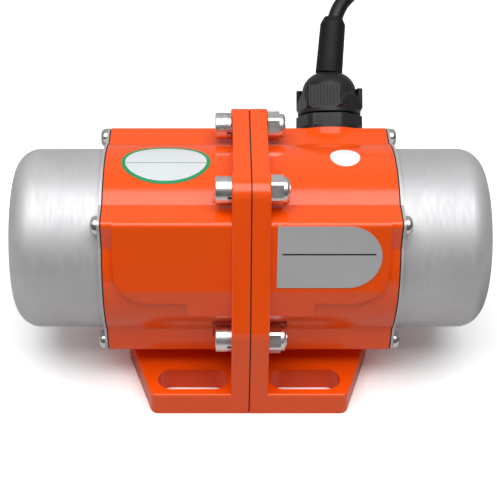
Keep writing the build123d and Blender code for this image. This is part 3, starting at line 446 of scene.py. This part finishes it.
# Supply cord: a round black rubber cord that leaves the sleeve, arches back and comes down beside
# the motor. The length that isn't needed is wound into a tied coil, and its end goes into the plug.
cord_diameter = 0.006
cord_in_sleeve = 0.008
cord_past_sleeve = 0.003
cord_start = sleeve_foot + sleeve_direction * (sleeve_length - cord_in_sleeve)
free_route = [
    cord_start,
    sleeve_foot + sleeve_direction * (sleeve_length + cord_past_sleeve),
    Vector((0.0442, 0.0806, 0.1138)),
    Vector((0.0552, 0.094, 0.1235)),
    Vector((0.077, 0.105, 0.129)),
    Vector((0.101, 0.110, 0.120)),
    Vector((0.118, 0.111, 0.097)),
    Vector((0.1255, 0.111, 0.067)),
    Vector((0.1285, 0.106, 0.038)),
    Vector((0.1285, 0.093, 0.0145)),
    Vector((0.1264, 0.074, 0.0056)),
    Vector((0.1223, 0.050, 0.0038)),
    Vector((0.1176, 0.026, 0.0037)),
]
tail_route = [
    Vector((0.1665, 0.020, 0.0079)),
    Vector((0.1628, 0.0315, 0.0071)),
    Vector((0.162, 0.042, 0.0071)),
]
coil_centre = Vector((0.144, -0.008))
coil_mean = 0.029
coil_floor = 0.0007
outer_lane = coil_mean + cord_diameter / 2
inner_lane = coil_mean - cord_diameter / 2
lower_layer = coil_floor + cord_diameter / 2
upper_layer = lower_layer + cord_diameter
first_angle = math.radians(160)
whole_turns = 4
last_angle = math.radians(26 + whole_turns * 360)
points_per_turn = 15

# The smooth curve cuts inside its points, so they stand a little outside the lane.
pull_in = math.cos(math.pi / points_per_turn)

# The coil has two lanes and two layers. The cord changes lane or layer in three short stretches:
# each has its middle, as an angle round the coil, and the lane and layer before and after it.
change_length = math.radians(36)
lane_changes = [
    (math.radians(495), (outer_lane, lower_layer), (inner_lane, lower_layer)),
    (math.radians(822), (inner_lane, lower_layer), (inner_lane, upper_layer)),
    (math.radians(1152), (inner_lane, upper_layer), (outer_lane, upper_layer)),
]


def lane_at(angle):
    """How far from the coil's middle and how high the cord lies at this angle round the coil."""
    lane = (outer_lane, lower_layer)
    for middle, before, after in lane_changes:
        share = min(max((angle - middle) / change_length + 0.5, 0), 1)
        share = share * share * (3 - 2 * share)
        if share > 0:
            lane = tuple(start + (end - start) * share for start, end in zip(before, after))
    return lane


coil_points = []
coil_steps = round((last_angle - first_angle) / (2 * math.pi) * points_per_turn)
for step in range(coil_steps + 1):
    angle = first_angle + (last_angle - first_angle) * step / coil_steps
    radius, height = lane_at(angle)
    spot = coil_centre + Vector((math.cos(angle), math.sin(angle))) * radius / pull_in
    coil_points.append(Vector((spot.x, spot.y, height)))

cord_points = free_route + coil_points + tail_route
cord_curve = bpy.data.curves.new("cord", "CURVE")
cord_curve.dimensions = "3D"
cord_curve.resolution_u = 10
cord_curve.bevel_depth = cord_diameter / 2
cord_curve.bevel_resolution = 6
cord_curve.use_fill_caps = True
cord_spline = cord_curve.splines.new("NURBS")
cord_spline.points.add(len(cord_points) - 1)
for spline_point, cord_point in zip(cord_spline.points, cord_points):
    spline_point.co = (*cord_point, 1)
cord_spline.order_u = 3
cord_spline.use_endpoint_u = True
cord = bpy.data.objects.new("rubber_cord", cord_curve)
scene.collection.objects.link(cord)
cord_rubber = grained(
    "cord_rubber", dark=(0.004, 0.004, 0.005), light=(0.006, 0.006, 0.007), rough=0.45, spread=0.06,
    fine=900, coarse=120, relief=0.00002, shine=0.35,
)
cord_curve.materials.append(cord_rubber)
finish(cord_rubber, "cord_inlet")
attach(cord, "housing")
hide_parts("supply_cord", "cord_coil", "cord_tail")

# Coil tie and plug: a nylon strap holds the coil's turns together, and a small plug with two
# nickelled pins is moulded on the cord's end. Its skin has the fine sparkle of a spark-eroded mould.
strap = grained(
    "strap_nylon", dark=(0.02, 0.02, 0.02), light=(0.035, 0.035, 0.036), rough=0.55, spread=0.05,
    fine=2500, coarse=200, relief=0.00003,
)
finish(strap, "coil_tie")
moulding = grained(
    "plug_moulding", dark=(0.02, 0.02, 0.021), light=(0.03, 0.03, 0.031), rough=0.48, spread=0.05,
    fine=1800, coarse=60, relief=0.00003,
)
finish(moulding, "plug_body")
pin_metal = grained(
    "plug_pin_metal", dark=(0.74, 0.68, 0.50), light=(0.80, 0.74, 0.56), rough=0.22, spread=0.05,
    fine=1200, coarse=200, relief=0.00001, metal=1.0,
)
finish(pin_metal, "plug_pins")

# Rating plate: thin silver sheet, bare but for one plain rule, stuck to the slanted pad of the
# right half. Its left end is square and its right end is round.
pad_top = Vector((0, -0.0304, shaft_height + 0.0304))
pad_break = Vector((0, -0.0373, shaft_height + 0.0048))
pad_down = (pad_break - pad_top).normalized()
pad_out = pad_down.cross(Vector((1, 0, 0)))
plate_left = 0.0092
plate_right = 0.0464
plate_height = 0.0238
plate_top = 0.0009
plate_round = plate_height / 2
plate_thickness = 0.00025
rule_top = 0.0113
rule_width = 0.0006
rule_thickness = 0.00002
rule_left = plate_left + 0.0018
rule_right = plate_right - 0.0022
arc_steps = 24


def on_pad(x, down, lift):
    """A point on the right pad, x along the shaft and down from the pad's upper edge."""
    return Vector((x, 0, 0)) + pad_top + pad_down * down + pad_out * lift


def thin_sheet(name, outline, place, lift, thickness, rings=12):
    """A thin sheet with this outline, laid point by point on the surface that place gives."""
    count = len(outline)
    middle_x = sum(x for x, y in outline) / count
    middle_y = sum(y for x, y in outline) / count
    corners = []
    for ring in range(1, rings + 1):
        share = ring / rings
        for x, y in outline:
            ring_x = middle_x + (x - middle_x) * share
            ring_y = middle_y + (y - middle_y) * share
            corners.append(place(ring_x, ring_y, lift + thickness))
    hub = len(corners)
    corners.append(place(middle_x, middle_y, lift + thickness))
    under = len(corners)
    corners += [place(x, y, lift) for x, y in outline]
    rim = (rings - 1) * count
    faces = [tuple(range(under + count - 1, under - 1, -1))]
    for spot in range(count):
        after = (spot + 1) % count
        faces.append((hub, after, spot))
        faces.append((rim + spot, rim + after, under + after, under + spot))
        for inside in range(0, rim, count):
            outside = inside + count
            faces.append((inside + spot, inside + after, outside + after, outside + spot))
    mesh = bpy.data.meshes.new(name)
    mesh.from_pydata(corners, [], faces)
    shell = bmesh.new()
    shell.from_mesh(mesh)
    bmesh.ops.recalc_face_normals(shell, faces=shell.faces)
    shell.to_mesh(mesh)
    shell.free()
    sheet = bpy.data.objects.new(name, mesh)
    scene.collection.objects.link(sheet)
    return sheet


plate_outline = [
    (plate_left, plate_top + plate_height),
    (plate_left, plate_top),
]
for step in range(arc_steps + 1):
    angle = math.pi / 2 - math.pi * step / arc_steps
    arc_x = plate_right - plate_round + plate_round * math.cos(angle)
    arc_down = plate_top + plate_round - plate_round * math.sin(angle)
    plate_outline.append((arc_x, arc_down))
rating_plate = thin_sheet("rating_plate", plate_outline, on_pad, 0.0, plate_thickness)
plate_silver = grained(
    "plate_silver", dark=(0.52, 0.52, 0.53), light=(0.58, 0.58, 0.59), rough=0.42, spread=0.05,
    fine=1500, coarse=60, relief=0.000006, metal=0.35,
)
rating_plate.data.materials.append(plate_silver)
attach(rating_plate, "housing")

rule_outline = [
    (rule_left, rule_top + rule_width),
    (rule_left, rule_top),
    (rule_right, rule_top),
    (rule_right, rule_top + rule_width),
]
plate_rule = thin_sheet("plate_rule", rule_outline, on_pad, plate_thickness, rule_thickness, rings=1)
rule_ink = grained(
    "rule_ink", dark=(0.01, 0.01, 0.012), light=(0.02, 0.02, 0.024), rough=0.5, spread=0.05,
    fine=900, coarse=90, relief=0.000004,
)
plate_rule.data.materials.append(rule_ink)
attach(plate_rule, "housing")

# Oval label: pale paper with a green border and one fine divider, stuck on top of the left barrel.
# It bends round the barrel, and so do the printed field and the divider that lie on it.
barrel_radius = 0.036
label_x = -0.0308
label_round = barrel_radius * math.radians(-0.9)
label_half_x = 0.0163
label_half_round = 0.0114
label_border_width = 0.0014
label_thickness = 0.00012
print_thickness = 0.00002
divider_round = barrel_radius * math.radians(-2.1)
divider_half_x = 0.01483
divider_half_round = 0.00012
divider_thickness = 0.00001


def on_barrel(x, round_x, lift):
    """A point on the barrel, round_x measured along its surface from the top towards the back."""
    angle = round_x / barrel_radius
    reach = barrel_radius + lift
    return Vector((x, reach * math.sin(angle), shaft_height + reach * math.cos(angle)))


def oval(middle_x, middle_round, half_x, half_round, steps=64):
    """The outline of an oval label."""
    outline = []
    for step in range(steps):
        angle = 2 * math.pi * step / steps
        outline.append((middle_x + half_x * math.cos(angle), middle_round + half_round * math.sin(angle)))
    return outline


border_outline = oval(label_x, label_round, label_half_x, label_half_round)
label_border = thin_sheet("oval_label", border_outline, on_barrel, 0.0, label_thickness)
label_green = grained(
    "label_green", dark=(0.012, 0.25, 0.09), light=(0.02, 0.31, 0.12), rough=0.35, spread=0.04,
    fine=900, coarse=60, relief=0.000004,
)
label_border.data.materials.append(label_green)
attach(label_border, "housing")

field_outline = oval(
    label_x, label_round, label_half_x - label_border_width, label_half_round - label_border_width
)
label_field = thin_sheet("oval_label_field", field_outline, on_barrel, label_thickness, print_thickness)
label_paper = grained(
    "label_paper", dark=(0.62, 0.66, 0.68), light=(0.68, 0.72, 0.74), rough=0.35, spread=0.05,
    fine=900, coarse=60, relief=0.000006,
)
label_field.data.materials.append(label_paper)
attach(label_field, "housing")

divider_outline = [
    (label_x - divider_half_x, divider_round - divider_half_round),
    (label_x + divider_half_x, divider_round - divider_half_round),
    (label_x + divider_half_x, divider_round + divider_half_round),
    (label_x - divider_half_x, divider_round + divider_half_round),
]
divider_lift = label_thickness + print_thickness
label_divider = thin_sheet(
    "oval_label_divider", divider_outline, on_barrel, divider_lift, divider_thickness, rings=1
)
divider_ink = grained(
    "divider_ink", dark=(0.05, 0.12, 0.08), light=(0.07, 0.15, 0.10), rough=0.5, spread=0.05,
    fine=900, coarse=60, relief=0.000004,
)
label_divider.data.materials.append(divider_ink)
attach(label_divider, "housing")

# Round label: a small white paper disc, stuck on top of the right barrel and left bare.
# It is as thin as the oval label and bends with the barrel in the same way.
small_label_x = 0.0349
small_label_round = barrel_radius * math.radians(3.85)
small_label_half_x = 0.0055
small_label_half_round = 0.00575
small_outline = oval(small_label_x, small_label_round, small_label_half_x, small_label_half_round)
small_label = thin_sheet("small_label", small_outline, on_barrel, 0.0, label_thickness)
small_paper = grained(
    "small_label_paper", dark=(0.82, 0.83, 0.85), light=(0.88, 0.89, 0.91), rough=0.35, spread=0.05,
    fine=900, coarse=60, relief=0.000006,
)
small_label.data.materials.append(small_paper)
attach(small_label, "housing")

scene.view_settings.view_transform = "Standard"
